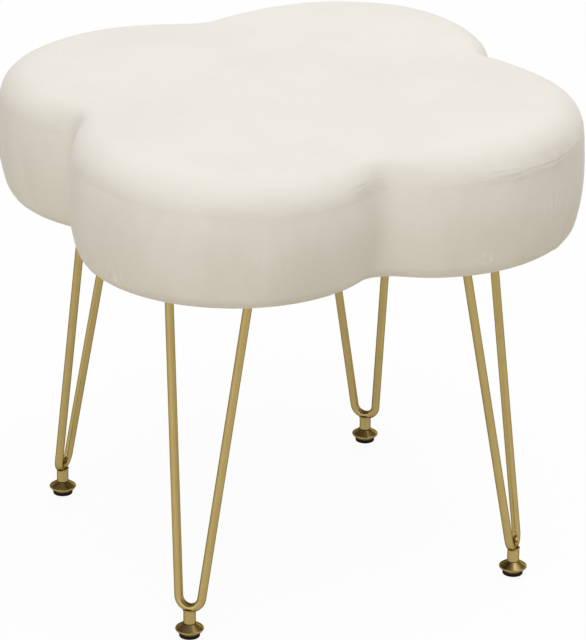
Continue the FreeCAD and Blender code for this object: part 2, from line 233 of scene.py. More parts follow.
# Suns: name, strength, spread in degrees, colour and direction.
SUNS = (
    ("high_key", 1.15, 50, (1.0, 1.0, 1.0), (0.2, -0.42, 0.88)),
    ("light_behind", 0.8, 60, (1.0, 1.0, 1.0), (-0.08, 0.87, 0.49)),
    ("low_fill", 0.62, 60, (0.97, 0.99, 1.0), (-0.25, -0.94, 0.24)),
)


class Value:
    """One output of a shader node. Arithmetic on it adds Math nodes."""

    def __init__(self, nodes, socket):
        self.nodes = nodes
        self.socket = socket

    def __add__(self, other):
        return self.nodes.math("ADD", self, other)

    __radd__ = __add__

    def __mul__(self, other):
        return self.nodes.math("MULTIPLY", self, other)

    __rmul__ = __mul__

    def __sub__(self, other):
        return self.nodes.math("SUBTRACT", self, other)

    def __rsub__(self, other):
        return self.nodes.math("SUBTRACT", other, self)


class Nodes:
    """The nodes of a finish or of the room in the making."""

    def __init__(self, tree):
        self.tree = tree

    def feed(self, socket, value):
        """Link a value to a socket, or set a plain one on it."""
        if isinstance(value, Value):
            self.tree.links.new(value.socket, socket)
        else:
            socket.default_value = value

    def node(self, kind, settings=None, inputs=None, output=0):
        """Add one node: its settings first, then the values or links of its sockets."""
        made = self.tree.nodes.new("ShaderNode" + kind)
        for name, value in (settings or {}).items():
            setattr(made, name, value)
        for socket, value in (inputs or {}).items():
            self.feed(made.inputs[socket], value)
        return Value(self, made.outputs[output])

    def math(self, operation, first, second):
        return self.node("Math", {"operation": operation}, {0: first, 1: second})

    def ray(self, kind):
        """1 where the ray that meets the surface is of a kind, or else 0."""
        return self.node("LightPath", output=f"Is {kind} Ray")

    def mix_shaders(self, share, first, second):
        return self.node("MixShader", inputs={0: share, 1: first, 2: second})

    def show(self, output, shader):
        """Make a shader what an output node shows."""
        self.feed(self.tree.nodes[output].inputs["Surface"], shader)


class Finish(Nodes):
    """A surface finish in the making: its material, its nodes and its shader."""

    def __init__(self, name, **constants):
        self.material = bpy.data.materials.new(name)
        self.material.use_nodes = True
        super().__init__(self.material.node_tree)
        self.shader = self.tree.nodes["Principled BSDF"]
        for socket, value in constants.items():
            self.shader.inputs[socket.replace("_", " ").title().replace("Ior", "IOR")].default_value = value

    def place(self):
        return self.node("TexCoord", output="Object")

    def stretched(self, place, scale, rotation=(0, 0, 0)):
        return self.node("Mapping", inputs={"Vector": place, "Scale": scale, "Rotation": rotation})

    def noise(self, place, scale, detail):
        return self.node("TexNoise", inputs={"Vector": place, "Scale": scale, "Detail": detail})

    def near(self, place, centre, reach):
        """1 close to a centre, falling smoothly to 0 at a reach from it."""
        away = self.node("VectorMath", {"operation": "DISTANCE"}, {0: place, 1: centre}, output="Value")
        return 1 - self.between(away, 0.3 * reach, reach)

    def between(self, value, low, high):
        """0 below low, 1 above high, and a smooth step in between."""
        return self.node("MapRange", {"interpolation_type": "SMOOTHSTEP"}, {
            "Value": value, "From Min": low, "From Max": high})

    def mix(self, share, first, second):
        return self.node("Mix", {"data_type": "RGBA"}, {0: share, 6: first, 7: second}, output=2)

    def bump(self, height, distance, strength):
        normal = self.node("Bump", inputs={"Height": height, "Distance": distance, "Strength": strength})
        self.feed(self.shader.inputs["Normal"], normal)

    def surface(self, colour, roughness):
        self.feed(self.shader.inputs["Base Color"], colour)
        self.feed(self.shader.inputs["Roughness"], roughness)


def rgb(red, green, blue):
    return (red, green, blue, 1.0)


def ivory_velvet():
    """Short-pile velvet: the nap lies in soft patches on the top and in upright bands on the sides.

    It is crushed in a few places, and drawn into small slanting puckers along parts of the seam.
    """
    finish = Finish("ivory_velvet", sheen_weight=0.3, sheen_roughness=0.5, sheen_tint=rgb(1.0, 0.99, 0.97))
    place = finish.place()
    level = finish.node("SeparateXYZ", inputs={0: place}, output="Z")
    on_side = 1 - finish.between(level, SEAM_HEIGHT - 5 * MM, SEAM_HEIGHT + 8 * MM)
    lay = finish.between(finish.noise(place, 11, 3), 0.35, 0.65)
    fallen = finish.between(finish.noise(finish.stretched(place, (24, 24, 8)), 1, 2), 0.35, 0.65)
    mottle = finish.noise(place, 120, 3)
    brushed = finish.noise(finish.stretched(place, (260, 260, 40), (0.3, 0.2, 0.4)), 1, 3)
    pile = finish.noise(place, 1500, 2)
    shade = 0.1 + 0.25 * lay + on_side * (0.4 * fallen - 0.2) + 0.2 * mottle + 0.2 * brushed + 0.15 * pile

    streaks = finish.noise(finish.stretched(place, (300, 300, 90), (0.5, 0.4, 0.2)), 1, 3)
    strokes = finish.between(streaks, 0.45, 0.65)
    crushed = sum(strength * strokes * finish.near(place, centre, reach)
                  for centre, reach, strength in CRUSHED_PLACES)
    drawn = finish.noise(finish.stretched(place, (70, 70, 420), (0.35, 0.12, 0)), 1, 2)
    by_seam = (finish.between(level, SEAM_HEIGHT - 7 * MM, SEAM_HEIGHT)
               - finish.between(level, SEAM_HEIGHT + 3 * MM, SEAM_HEIGHT + 10 * MM))
    puckers = by_seam * sum(drawn * finish.near(place, centre, reach) for centre, reach in PUCKERED_PLACES)

    colour = finish.mix(shade, rgb(0.83, 0.79, 0.71), rgb(0.92, 0.89, 0.83))
    finish.surface(finish.mix(0.8 * crushed, colour, rgb(0.97, 0.955, 0.915)), 0.95 - 0.12 * mottle)
    finish.bump(0.2 * pile + 0.15 * mottle + 0.8 * crushed + 1.6 * puckers, 1.0 * MM, 0.5)
    return finish.material


def yellow_foam():
    """Open-cell seat foam."""
    finish = Finish("seat_foam")
    place = finish.place()
    cells = finish.node("TexVoronoi", inputs={"Vector": place, "Scale": 700}, output="Distance")
    aged = finish.noise(place, 9, 3)
    finish.surface(finish.mix(aged, rgb(0.80, 0.71, 0.42), rgb(0.86, 0.79, 0.55)), 0.95)
    finish.bump(cells, 0.6 * MM, 0.8)
    return finish.material


def birch_plywood():
    """Plywood with long grain on its faces and glued layers on its edge."""
    finish = Finish("birch_plywood")
    place = finish.place()
    grain = finish.noise(finish.stretched(place, (18, 220, 60)), 1, 4)
    figure = finish.noise(finish.stretched(place, (4, 30, 10)), 1, 3)
    layers = finish.node("TexWave", {"bands_direction": "Z"}, {
        "Vector": place, "Scale": 120, "Distortion": 0.6})
    shade = 0.45 * grain + 0.35 * figure + 0.2 * layers
    finish.surface(finish.mix(shade, rgb(0.42, 0.27, 0.13), rgb(0.66, 0.49, 0.29)), 0.55 + 0.25 * grain)
    finish.bump(grain, 0.2 * MM, 0.4)
    return finish.material


def black_lining():
    """Spun black lining with rows of small pressed dots."""
    finish = Finish("black_lining")
    place = finish.place()
    dots = finish.node("TexVoronoi", inputs={
        "Vector": place, "Scale": 650, "Randomness": 0.2}, output="Distance")
    pressed = finish.between(dots, 0.2, 0.5)
    fibres = finish.noise(place, 900, 4)
    shade = 0.6 * pressed + 0.4 * fibres
    colour = finish.mix(shade, rgb(0.008, 0.008, 0.009), rgb(0.035, 0.035, 0.038))
    finish.surface(colour, 0.92 - 0.3 * fibres)
    finish.bump(0.7 * pressed + 0.3 * fibres, 0.25 * MM, 0.7)
    return finish.material


def worked_metal(name, dark, light, roughness, scratch_depth, **constants):
    """Metal with a faint cloudy tone and fine scratches."""
    finish = Finish(name, metallic=1.0, **constants)
    place = finish.place()
    cloud = finish.noise(place, 55, 3)
    scratches = finish.noise(finish.stretched(place, (900, 900, 60)), 1, 3)
    handled = finish.noise(place, 240, 2)
    finish.surface(finish.mix(cloud, dark, light), roughness + 0.10 * handled + 0.05 * scratches)
    finish.bump(scratches, scratch_depth, 0.25)
    return finish.material


def black_rubber():
    """Moulded rubber, dusty from the floor."""
    finish = Finish("black_rubber", specular_ior_level=0.15)
    place = finish.place()
    dust = finish.between(finish.noise(place, 400, 4), 0.5, 0.8)
    grain = finish.noise(place, 2600, 2)
    colour = finish.mix(0.5 * dust, rgb(0.008, 0.0075, 0.007), rgb(0.03, 0.028, 0.026))
    finish.surface(colour, 0.75 + 0.2 * dust)
    finish.bump(grain, 0.1 * MM, 0.5)
    return finish.material


BRASS_EDGE = rgb(0.05, 0.04, 0.02)
SLOT_FINISHES = {
    "velvet": ivory_velvet(),
    "foam": yellow_foam(),
    "plywood": birch_plywood(),
    "dust_cloth": black_lining(),
    "satin_brass": worked_metal("satin_brass", rgb(0.42, 0.312, 0.118), rgb(0.50, 0.377, 0.146),
                                0.25, 0.02 * MM, specular_tint=BRASS_EDGE),
    "polished_brass": worked_metal("polished_brass", rgb(0.36, 0.262, 0.105), rgb(0.46, 0.345, 0.15),
                                   0.22, 0.01 * MM, specular_tint=BRASS_EDGE),
    "zinc_steel": worked_metal("zinc_steel", rgb(0.50, 0.50, 0.49), rgb(0.60, 0.60, 0.58), 0.30, 0.05 * MM),
    "staple_wire": worked_metal("staple_wire", rgb(0.55, 0.55, 0.55), rgb(0.66, 0.66, 0.66), 0.28, 0.03 * MM),
    "pad_rubber": black_rubber(),
}


def seat_outline(per_petal, per_notch):
    """Points round the widest outline, anticlockwise from above, and the outward direction at each."""
    points = []
    outward = []
    for quarter in range(4):
        middle = math.radians(90 * quarter)
        petal_centre = PETAL_OFFSET * np.array([math.cos(middle), math.sin(middle)])
        corner = middle + math.radians(45)
        notch_centre = NOTCH_OFFSET * np.array([math.cos(corner), math.sin(corner)])
        petal_end = middle + PETAL_HALF_ANGLE
        next_petal = middle + math.radians(90) - PETAL_HALF_ANGLE
        arcs = (
            (petal_centre, PETAL_RADIUS, middle - PETAL_HALF_ANGLE, petal_end, per_petal),
            (notch_centre, -NOTCH_RADIUS, petal_end, next_petal, per_notch),
        )
        for centre, radius, start, end, count in arcs:
            for angle in np.linspace(start, end, count, endpoint=False):
                direction = np.array([math.cos(angle), math.sin(angle)])
                points.append(centre + radius * direction)
                outward.append(direction)
    return np.array(points), np.array(outward)


def ring_rows(outline, inset, scale, height):
    """Rings of points: the outline drawn in by an inset, scaled to the middle, at a height.

    Each ring has its own inset, scale and height.
    """
    points, outward = outline
    inset, scale, height = (np.asarray(v, float)[:, None, None] for v in (inset, scale, height))
    flat = (points - inset * outward) * scale
    return np.concatenate([flat, np.broadcast_to(height, flat.shape[:2] + (1,))], axis=2)


def wall_inset(height):
    """How far the side is drawn in at a height from where it is fullest."""
    return SIDE_SWELL * ((height - FULLEST_HEIGHT) / (FULLEST_HEIGHT - SEAT_BOTTOM)) ** 2


def cover_section():
    """The cover's section from the middle of the top to the folded margin.

    Gives distance from the seam (negative on the top panel), inset, scale and height along it.
    """
    turn_over = np.radians(np.linspace(90, 0, SHOULDER_POINTS))
    shoulder_height = SEAM_HEIGHT + SHOULDER_RISE * np.sin(turn_over)
    shoulder_inset = wall_inset(shoulder_height) + SHOULDER_WIDTH * (1 - np.cos(turn_over))
    flat_scale = np.linspace(MIDDLE_SCALE, 1, FLAT_POINTS, endpoint=False)
    wall_height = np.linspace(SEAM_HEIGHT, SEAT_BOTTOM + BOTTOM_ROUND, WALL_POINTS)[1:-1]
    fold = np.radians(np.linspace(0, 90, FOLD_POINTS))
    fold_height = SEAT_BOTTOM + BOTTOM_ROUND * (1 - np.sin(fold))
    fold_inset = wall_inset(fold_height) + BOTTOM_ROUND * (1 - np.cos(fold))
    margin_inset = fold_inset[-1] + np.linspace(0, TURN_UNDER, MARGIN_POINTS)[1:]

    inset = np.concatenate([
        np.full(len(flat_scale), shoulder_inset[0]), shoulder_inset, wall_inset(wall_height),
        fold_inset, margin_inset])
    height = np.concatenate([
        np.full(len(flat_scale), shoulder_height[0]), shoulder_height, wall_height,
        fold_height, np.full(len(margin_inset), SEAT_BOTTOM)])
    scale = np.ones(len(inset))
    scale[:len(flat_scale)] = flat_scale
    reach = (SEAT_REACH - inset) * scale
    distance = np.concatenate([[0], np.cumsum(np.hypot(np.diff(reach), np.diff(height)))])
    seam = len(flat_scale) + len(turn_over) - 1
    return distance - distance[seam], inset, scale, height


def section_rows(outline, section, distances):
    """The cover's rings at the given distances from the seam."""
    return ring_rows(outline, *(np.interp(distances, section[0], part) for part in section[1:]))


def side_distance(section, height):
    """Distance down the side band from the seam to a height."""
    below = section[0] > 0
    return np.interp(-height, -section[3][below], section[0][below])


def spread_from_seam(length, first, growth, largest):
    """Distances from 0 to length whose steps start small and grow."""
    steps = [0.0]
    step = first
    while steps[-1] + step < length:
        steps.append(steps[-1] + step)
        step = min(step * growth, largest)
    return np.array(steps) * length / steps[-1]


def ring_mesh(name, rows, fan_first=False, fan_last=False, closed=True):
    """A mesh of quads between rings of points, with the first or last ring closed by a fan."""
    count, columns = rows.shape[:2]
    vertices = rows.reshape(-1, 3).tolist()
    ring = np.arange(columns if closed else columns - 1)
    after = (ring + 1) % columns
    faces = []
    for row in range(count - 1):
        upper, lower = row * columns, (row + 1) * columns
        faces += np.stack([upper + ring, lower + ring, lower + after, upper + after], axis=1).tolist()
    if fan_first:
        faces += [[len(vertices), a, b] for a, b in zip(ring.tolist(), after.tolist())]
        vertices.append(rows[0].mean(axis=0).tolist())
    if fan_last:
        last = (count - 1) * columns
        faces += [[len(vertices), last + b, last + a] for a, b in zip(ring.tolist(), after.tolist())]
        vertices.append(rows[-1].mean(axis=0).tolist())
    return new_mesh(name, vertices, faces)


def new_mesh(name, vertices, faces):
    mesh = bpy.data.meshes.new(name)
    mesh.from_pydata(vertices, [], faces)
    mesh.update()
    return mesh


def new_object(name, data):
    """An object for a mesh, lamp or camera, in the scene."""
    made = bpy.data.objects.new(name, data)
    bpy.context.scene.collection.objects.link(made)
    return made


def new_piece(name, mesh, slot, body="stool"):
    """A smooth piece made of a mesh, with its slot's finish, riding on a body."""
    piece = new_object(name, mesh)
    mesh.materials.append(SLOT_FINISHES[slot])
    mesh.polygons.foreach_set("use_smooth", [True] * len(mesh.polygons))
    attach(piece, body)
    return piece


def ring_normals(rows):
    """The outward direction at each point of rings that run from the middle outwards and down."""
    along = np.gradient(rows, axis=0)
    around = np.roll(rows, -1, axis=1) - np.roll(rows, 1, axis=1)
    normal = np.cross(along, around)
    return normal / np.linalg.norm(normal, axis=2, keepdims=True)


def blown_up(rows, pinned):
    """How far each point of the cover moves when it is stuffed: a cloth simulation with pressure inside."""
    pattern = new_object("cover_pattern", ring_mesh("cover_pattern", rows, fan_first=True))
    columns = rows.shape[1]
    pins = pattern.vertex_groups.new(name="pins")
    for row in pinned:
        pins.add(list(range(row * columns, (row + 1) * columns)), 1.0, "REPLACE")
    cloth = pattern.modifiers.new("stuffing", "CLOTH")
    cloth.settings.vertex_group_mass = pins.name
    cloth.settings.use_pressure = True
    cloth.settings.uniform_pressure_force = STUFFING_PRESSURE
    cloth.settings.quality = STUFFING_QUALITY
    cloth.settings.bending_stiffness = STUFFING_BENDING
    cloth.settings.effector_weights.gravity = 0
    cloth.point_cache.frame_end = STUFFING_FRAMES
    for step in range(1, STUFFING_FRAMES + 1):
        bpy.context.scene.frame_set(step)
    stuffed = pattern.evaluated_get(bpy.context.evaluated_depsgraph_get()).data
    points = np.empty(len(stuffed.vertices) * 3)
    stuffed.vertices.foreach_get("co", points)
    bpy.data.objects.remove(pattern)
    bpy.context.scene.frame_set(1)
    return points[:rows.size].reshape(rows.shape) - rows


def evened(values, passes):
    """Values on rings with short waves taken out, round the rings and across them."""
    for _ in range(passes):
        values = (np.roll(values, 1, axis=1) + 2 * values + np.roll(values, -1, axis=1)) / 4
        inner = (values[:-2] + 2 * values[1:-1] + values[2:]) / 4
        values = np.concatenate([values[:1], inner, values[-1:]])
    return values


def smooth_lookup(values, position, axis, wrap):
    """Values read at fractional positions along an axis, on a smooth curve through them."""
    whole = np.floor(position).astype(int)
    part = position - whole
    shape = [1] * values.ndim
    shape[axis] = len(position)
    part = part.reshape(shape)

    def at(shift):
        index = whole + shift
        index = index % values.shape[axis] if wrap else np.clip(index, 0, values.shape[axis] - 1)
        return np.take(values, index, axis=axis)

    before, start, end, after = (at(shift) for shift in (-1, 0, 1, 2))
    slope_in = (end - before) / 2
    slope_out = (after - start) / 2
    step = end - start
    return start + part * (slope_in + part * (3 * step - 2 * slope_in - slope_out
                                              + part * (slope_in + slope_out - 2 * step)))


def wander(turn, seed, slowest, fastest, waves=9):
    """A smooth random wave round the seat, mostly between -1 and 1, with whole waves in a round."""
    chance = np.random.default_rng(seed)
    counts = chance.integers(slowest, fastest + 1, waves)
    phases = chance.uniform(0, 2 * math.pi, waves)
    return sum(np.sin(count * turn + phase) for count, phase in zip(counts, phases)) / math.sqrt(2 * waves)


def unevenness(points, seed, shortest, longest):
    """A smooth random field over points in space, mostly between -1 and 1."""
    waves = 14
    chance = np.random.default_rng(seed)
    total = 0
    for _ in range(waves):
        direction = chance.normal(size=3)
        direction *= 2 * math.pi / chance.uniform(shortest, longest) / np.linalg.norm(direction)
        total = total + np.sin(points @ direction + chance.uniform(0, 2 * math.pi))
    return total / math.sqrt(2 * waves)


def angle_bump(azimuth, centre, spread):
    """1 at an angle round the seat, falling off smoothly to each side; angles in degrees."""
    away = (azimuth - centre + 180) % 360 - 180
    return np.exp(-(away / spread) ** 2)


def at_notches(azimuth, spread):
    """1 at each notch, falling off smoothly to each side."""
    return sum(angle_bump(azimuth, notch, spread) for notch in NOTCH_AZIMUTHS)


def stuffing_moves(fine, section, distance):
    """How far the stuffing moves each point of the fine cover.

    It is read from a coarser pattern, which is blown up.
    """
    top_length, side_length = -section[0][0], section[0][-1]
    coarse = tuple(part[::COARSE_STEP] for part in fine)
    top_rows = np.linspace(-top_length, 0, PATTERN_TOP_ROWS)
    side_rows = np.linspace(0, side_length, PATTERN_SIDE_ROWS)[1:]
    coarse_distance = np.concatenate([top_rows, side_rows])
    pattern = section_rows(coarse, section, coarse_distance)
    seam_row = len(top_rows) - 1
    fold_end = side_length - TURN_UNDER - BOTTOM_ROUND / 2
    margin_rows = range(int(np.searchsorted(coarse_distance, fold_end)), len(coarse_distance))
    moved = evened(blown_up(pattern, [seam_row, *margin_rows]), STUFFING_EVENED)
    moved[:seam_row] *= CROWN / moved[:seam_row, :, 2].max()
    moved[seam_row:] *= SIDE_FULLNESS / np.linalg.norm(moved[seam_row:], axis=2).max()
    row_position = np.interp(distance, coarse_distance, np.arange(len(coarse_distance)))
    moved = smooth_lookup(moved, row_position, 0, wrap=False)
    return smooth_lookup(moved, np.arange(fine[0].shape[0]) / COARSE_STEP, 1, wrap=True)


def settle(rows, section, distance, azimuth):
    """Raise and lower the cover's rings, in place, as the seat in the photograph has settled."""
    height = rows[:, :, 2]
    upper = np.clip((height - FULLEST_HEIGHT) / (SEAM_HEIGHT - FULLEST_HEIGHT), 0, 1)
    height += upper * (STUFFING_LIFT
                       + (LIFT_TO_RIGHT * rows[:, :, 0] + LIFT_TO_BACK * rows[:, :, 1]) / SEAT_REACH)

    lower = np.clip((FULLEST_HEIGHT - height) / (FULLEST_HEIGHT - SEAT_BOTTOM), 0, 1)
    fold_start = side_distance(section, SEAT_BOTTOM + BOTTOM_ROUND)
    fold_end = section[0][-1] - TURN_UNDER
    upright = np.clip((fold_end - distance) / (fold_end - fold_start), 0, 1)[:, None]
    at_end = np.clip((np.abs(rows[:, :, 0]) - PETAL_OFFSET) / PETAL_RADIUS, 0, 1) ** 2
    height += END_ROUNDING * lower * upright * at_end

    up_top = np.clip(-distance, 0, None)[:, None]
    past_shoulder = np.clip(up_top - SHOULDER_RISE - SHOULDER_WIDTH / 2, 0, None) / DROOP_ON_TOP
    down_side = np.clip(distance, 0, None)[:, None] / DROOP_ON_SIDE
    drooping = angle_bump(azimuth, DROOP_AZIMUTH, DROOP_SPREAD)
    height -= FRONT_DROOP * drooping * np.exp(-past_shoulder ** 2 - down_side ** 2)
    across = np.exp(-((up_top - NOTCH_FILL_MIDDLE) / NOTCH_FILL_REACH) ** 2)
    height += NOTCH_FILL * at_notches(azimuth, NOTCH_FILL_SPREAD) * across


def sewing_relief(rows, outline, section, distance, azimuth):
    """How far each point of the cover stands out for its puckers, gathers, soft lumps and seam."""
    steps = np.linalg.norm(np.roll(outline, -1, axis=0) - outline, axis=1)
    turn = 2 * math.pi * np.concatenate([[0], np.cumsum(steps)[:-1]]) / steps.sum()
    away = np.abs(distance)[:, None]
    pulled = (0.2 + 0.3 * np.clip(wander(turn, seed=4, slowest=2, fastest=9), 0, 1)
              + 0.8 * angle_bump(azimuth, PUCKER_AZIMUTH, PUCKER_SPREAD)
              + 0.7 * at_notches(azimuth, PUCKER_NOTCH_SPREAD))
    slant = 2 * math.pi * PUCKER_SLANT * away / steps.sum()
    ripple = wander(turn + slant, seed=11, slowest=60, fastest=120, waves=12)
    pucker = PUCKER_HEIGHT * pulled * np.exp(-away / PUCKER_REACH) * ripple

    tight = TIGHT_LEAST + (1 - TIGHT_LEAST) * angle_bump(azimuth, TIGHT_AZIMUTH, TIGHT_SPREAD)
    groove = GROOVE_DEPTH * tight * np.exp(-(away / GROOVE_WIDTH) ** 2)
    stand = SEAM_STAND * tight * np.exp(-away / SEAM_STAND_REACH)

    fold_at = side_distance(section, SEAT_BOTTOM + BOTTOM_ROUND / 2)
    pleats = wander(turn, seed=23, slowest=40, fastest=90, waves=12)
    fullness = 0.5 + 0.5 * wander(turn, seed=31, slowest=2, fastest=7)
    gather = GATHER_HEIGHT * np.exp(-((distance[:, None] - fold_at) / GATHER_REACH) ** 2) * pleats * fullness
    soft = UNEVEN_HEIGHT * unevenness(rows, 7, *UNEVEN_LENGTHS) * np.clip(away / UNEVEN_FROM_SEAM, 0, 1)
    soft = soft * (rows[:, :, 2] > SEAT_BOTTOM + BOTTOM_ROUND / 2)
    return pucker + gather + soft + stand - groove


def stuffed_cover():
    """The finished cover as one set of rings, with its distance from the seam and its outward directions."""
    fine = seat_outline(FINE_PETAL, FINE_NOTCH)
    section = cover_section()
    on_top = spread_from_seam(-section[0][0], SEAM_ROW, ROW_GROWTH, TOP_ROW)
    on_side = spread_from_seam(section[0][-1], SEAM_ROW, ROW_GROWTH, SIDE_ROW)
    distance = np.concatenate([-on_top[:0:-1], on_side])
    rows = section_rows(fine, section, distance)
    rows = rows + stuffing_moves(fine, section, distance)
    azimuth = np.degrees(np.arctan2(fine[0][:, 1], fine[0][:, 0]))
    settle(rows, section, distance, azimuth)
    normal = ring_normals(rows)
    relief = sewing_relief(rows, fine[0], section, distance, azimuth)
    return distance, rows + normal * relief[:, :, None], normal


def sheet_area(mesh):
    return sum(face.area for face in mesh.polygons)


def closed_cloth(piece, thickness):
    """Give a piece of cloth its thickness, inwards from its face."""
    body = piece.modifiers.new("thickness", "SOLIDIFY")
    body.thickness = thickness
    body.offset = -1


def foam_piece(distance, rows, normal):
    """The foam inside the cover, with the pocket underneath that sits on the board."""
    depth = 2 * COVER_THICKNESS
    lip_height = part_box("foam_core")[0][2]
    board_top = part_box("base_board")[1][2]
    kept = (rows[:, :, 2].max(axis=1) > lip_height + depth) & (np.abs(distance) > 2 * SEAM_TUCK)
    kept &= (distance < 0) | (distance < side_distance(cover_section(), lip_height + depth))
    core = (rows - depth * normal)[kept][::2, ::COARSE_STEP]
    coarse = tuple(part[::COARSE_STEP] for part in seat_outline(FINE_PETAL, FINE_NOTCH))
    under = ring_rows(coarse, [FOAM_POCKET - FOAM_LIP, FOAM_POCKET, FOAM_POCKET, FOAM_POCKET],
                      [1, 1, 1, MIDDLE_SCALE], [lip_height, lip_height, board_top, board_top])
    mesh = ring_mesh("seat_foam", np.concatenate([core, under]), fan_first=True, fan_last=True)
    foam = new_piece("seat_foam", mesh, "foam")
    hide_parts("foam_core")


def cover_pieces():
    """The foam, and round it the top panel and the side band, each turned in at the seam that joins them."""
    distance, rows, normal = stuffed_cover()
    foam_piece(distance, rows, normal)
    seam = int(np.argmin(np.abs(distance)))
    tucked = rows[seam] - SEAM_TUCK * normal[seam]
    lift = np.array([0, 0, SEAM_GAP / 2])
    top_rows = np.concatenate([rows[:seam], [rows[seam] + lift, tucked + lift]])
    side_rows = np.concatenate([[tucked - lift, rows[seam] - lift], rows[seam + 1:]])

    top = new_piece("velvet_top_panel", ring_mesh("velvet_top_panel", top_rows, fan_first=True), "velvet")
    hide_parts("cover_top_panel")
    closed_cloth(top, COVER_THICKNESS)

    side = new_piece("velvet_side_band", ring_mesh("velvet_side_band", side_rows), "velvet")
    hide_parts("cover_side_band")
    closed_cloth(side, COVER_THICKNESS)
    height = distance[-1] + SEAM_TUCK
    sheet_area(side.data) / height


def lining_piece():
    """The black lining under the board, stapled over the cover's folded margin."""
    outline = tuple(part[::2] for part in seat_outline(FINE_PETAL, FINE_NOTCH))
    low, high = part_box("dust_cover")
    edge = SEAT_REACH - high[0]
    step = edge + LINING_STEP
    face_low = low[2] + LINING_BELOW
    face_high = high[2] - LINING_THICKNESS - LINING_ABOVE
    on_margin = np.linspace(edge, step, LINING_EDGE_ROWS)
    inset = np.concatenate([on_margin, [step + LINING_SLOPE_MIDDLE, step + LINING_SLOPE_END]])
    height = np.concatenate([np.full(LINING_EDGE_ROWS, face_low), [(face_low + face_high) / 2, face_high]])
    scale = np.linspace(1, MIDDLE_SCALE, LINING_ROWS)[1:]
    rows = np.concatenate([
        ring_rows(outline, inset, np.ones(len(inset)), height),
        ring_rows(outline, np.full(len(scale), inset[-1]), scale, np.full(len(scale), face_high))])
    rows[:, :, 2] += LINING_UNEVEN * unevenness(rows, 41, *LINING_LENGTHS)
    mesh = ring_mesh("lining", rows[::-1][:, ::-1], fan_first=True)
    lining = new_piece("lining", mesh, "dust_cloth")
    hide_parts("dust_cover")
    closed_cloth(lining, LINING_THICKNESS)


def tube_mesh(name, centres, radii):
    """A closed bead along a closed path, with its own radius at each point."""
    ahead = np.roll(centres, -1, axis=0) - np.roll(centres, 1, axis=0)
    ahead /= np.linalg.norm(ahead, axis=1, keepdims=True)
    side = np.cross(ahead, [0.0, 0.0, 1.0])
    side /= np.linalg.norm(side, axis=1, keepdims=True)
    up = np.cross(side, ahead)
    turn = np.linspace(0, 2 * math.pi, BEAD_SIDES, endpoint=False)[:, None]
    vertices = []
    for centre, across, above, radius in zip(centres, side, up, radii):
        vertices += (centre + radius * (np.cos(turn) * across + np.sin(turn) * above)).tolist()
    faces = []
    for ring in range(len(centres)):
        here = ring * BEAD_SIDES
        there = (ring + 1) % len(centres) * BEAD_SIDES
        for k in range(BEAD_SIDES):
            after = (k + 1) % BEAD_SIDES
            faces.append([here + k, there + k, there + after, here + after])
    return new_mesh(name, vertices, faces)


def weld_bead(name, centre, ring, height, radii, turn):
    """A bead of brass round a circle at a centre, turned to its leg."""
    path = np.stack([centre[0] + ring * np.cos(BEAD_ANGLES), centre[1] + ring * np.sin(BEAD_ANGLES),
                     np.broadcast_to(height, BEAD_ANGLES.shape)], axis=1)
    mesh = tube_mesh(name, path, radii)
    mesh.transform(turn)
    new_piece(name, mesh, "satin_brass")


def weld_beads():
    """The welds of each leg: round the sleeve under the bend, and round each rod end under the plate."""
    for number, (side, degrees) in enumerate(LEG_TURNS.items()):
        turn = Matrix.Rotation(math.radians(degrees), 4, "Z")
        height = SLEEVE_TOP + FOOT_WELD_RISE - FOOT_WELD_DIP * np.sin(BEAD_ANGLES) ** 2
        radii = FOOT_WELD_RADIUS + FOOT_WELD_UNEVEN * wander(BEAD_ANGLES, 50 + number, slowest=3, fastest=9)
        weld_bead(f"{side}_foot_weld", (FOOT_CIRCLE, 0), SLEEVE_RADIUS - FOOT_WELD_INSET, height, radii, turn)
        radii = (ROD_WELD_RADIUS + ROD_WELD_RIPPLE * np.sin(ROD_WELD_RIPPLES * BEAD_ANGLES)
                 + ROD_WELD_UNEVEN * wander(BEAD_ANGLES, 60 + number, slowest=2, fastest=6))
        for place, across in (("a", ROD_TOP_SPREAD / 2), ("b", -ROD_TOP_SPREAD / 2)):
            weld_bead(f"{side}_rod_weld_{place}", (ROD_TOP_CIRCLE, across), ROD_RADIUS + ROD_WELD_STAND,
                      PLATE_UNDERSIDE - ROD_WELD_DROP, radii, turn)


def threaded_studs():
    """Each glide's stud with its right-hand thread cut."""
    heights = np.arange(STUD_LOW, STUD_HIGH, THREAD_PITCH / THREAD_ROWS)[::-1, None]
    angle = np.linspace(0, 2 * math.pi, STUD_SIDES, endpoint=False)
    phase = heights / THREAD_PITCH - angle[None, :] / (2 * math.pi)
    crest = 2 * np.abs(phase - np.floor(phase) - 0.5)
    end = np.minimum(np.abs(heights - STUD_HIGH), np.abs(heights - STUD_LOW))
    radius = STUD_RADIUS - THREAD_DEPTH * crest - np.clip(THREAD_DEPTH - end, 0, None)
    for side, degrees in LEG_TURNS.items():
        turn = math.radians(degrees)
        rows = np.stack([
            FOOT_CIRCLE * math.cos(turn) + radius * np.cos(angle),
            FOOT_CIRCLE * math.sin(turn) + radius * np.sin(angle),
            np.broadcast_to(heights, radius.shape)], axis=2)
        mesh = ring_mesh(f"{side}_threaded_stud", rows, fan_first=True, fan_last=True)
        stud = new_piece(f"{side}_threaded_stud", mesh, "zinc_steel", body=f"{side}_glide")
        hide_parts(f"{side}_glide_stud")


def finish_packed_nodes():
    """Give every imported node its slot's finish."""
    for entry in frame["record"]["subparts"]:
        mesh = bpy.data.objects[entry["node"]].data
        mesh.materials.clear()
        mesh.materials.append(SLOT_FINISHES[entry["material_slot"]])


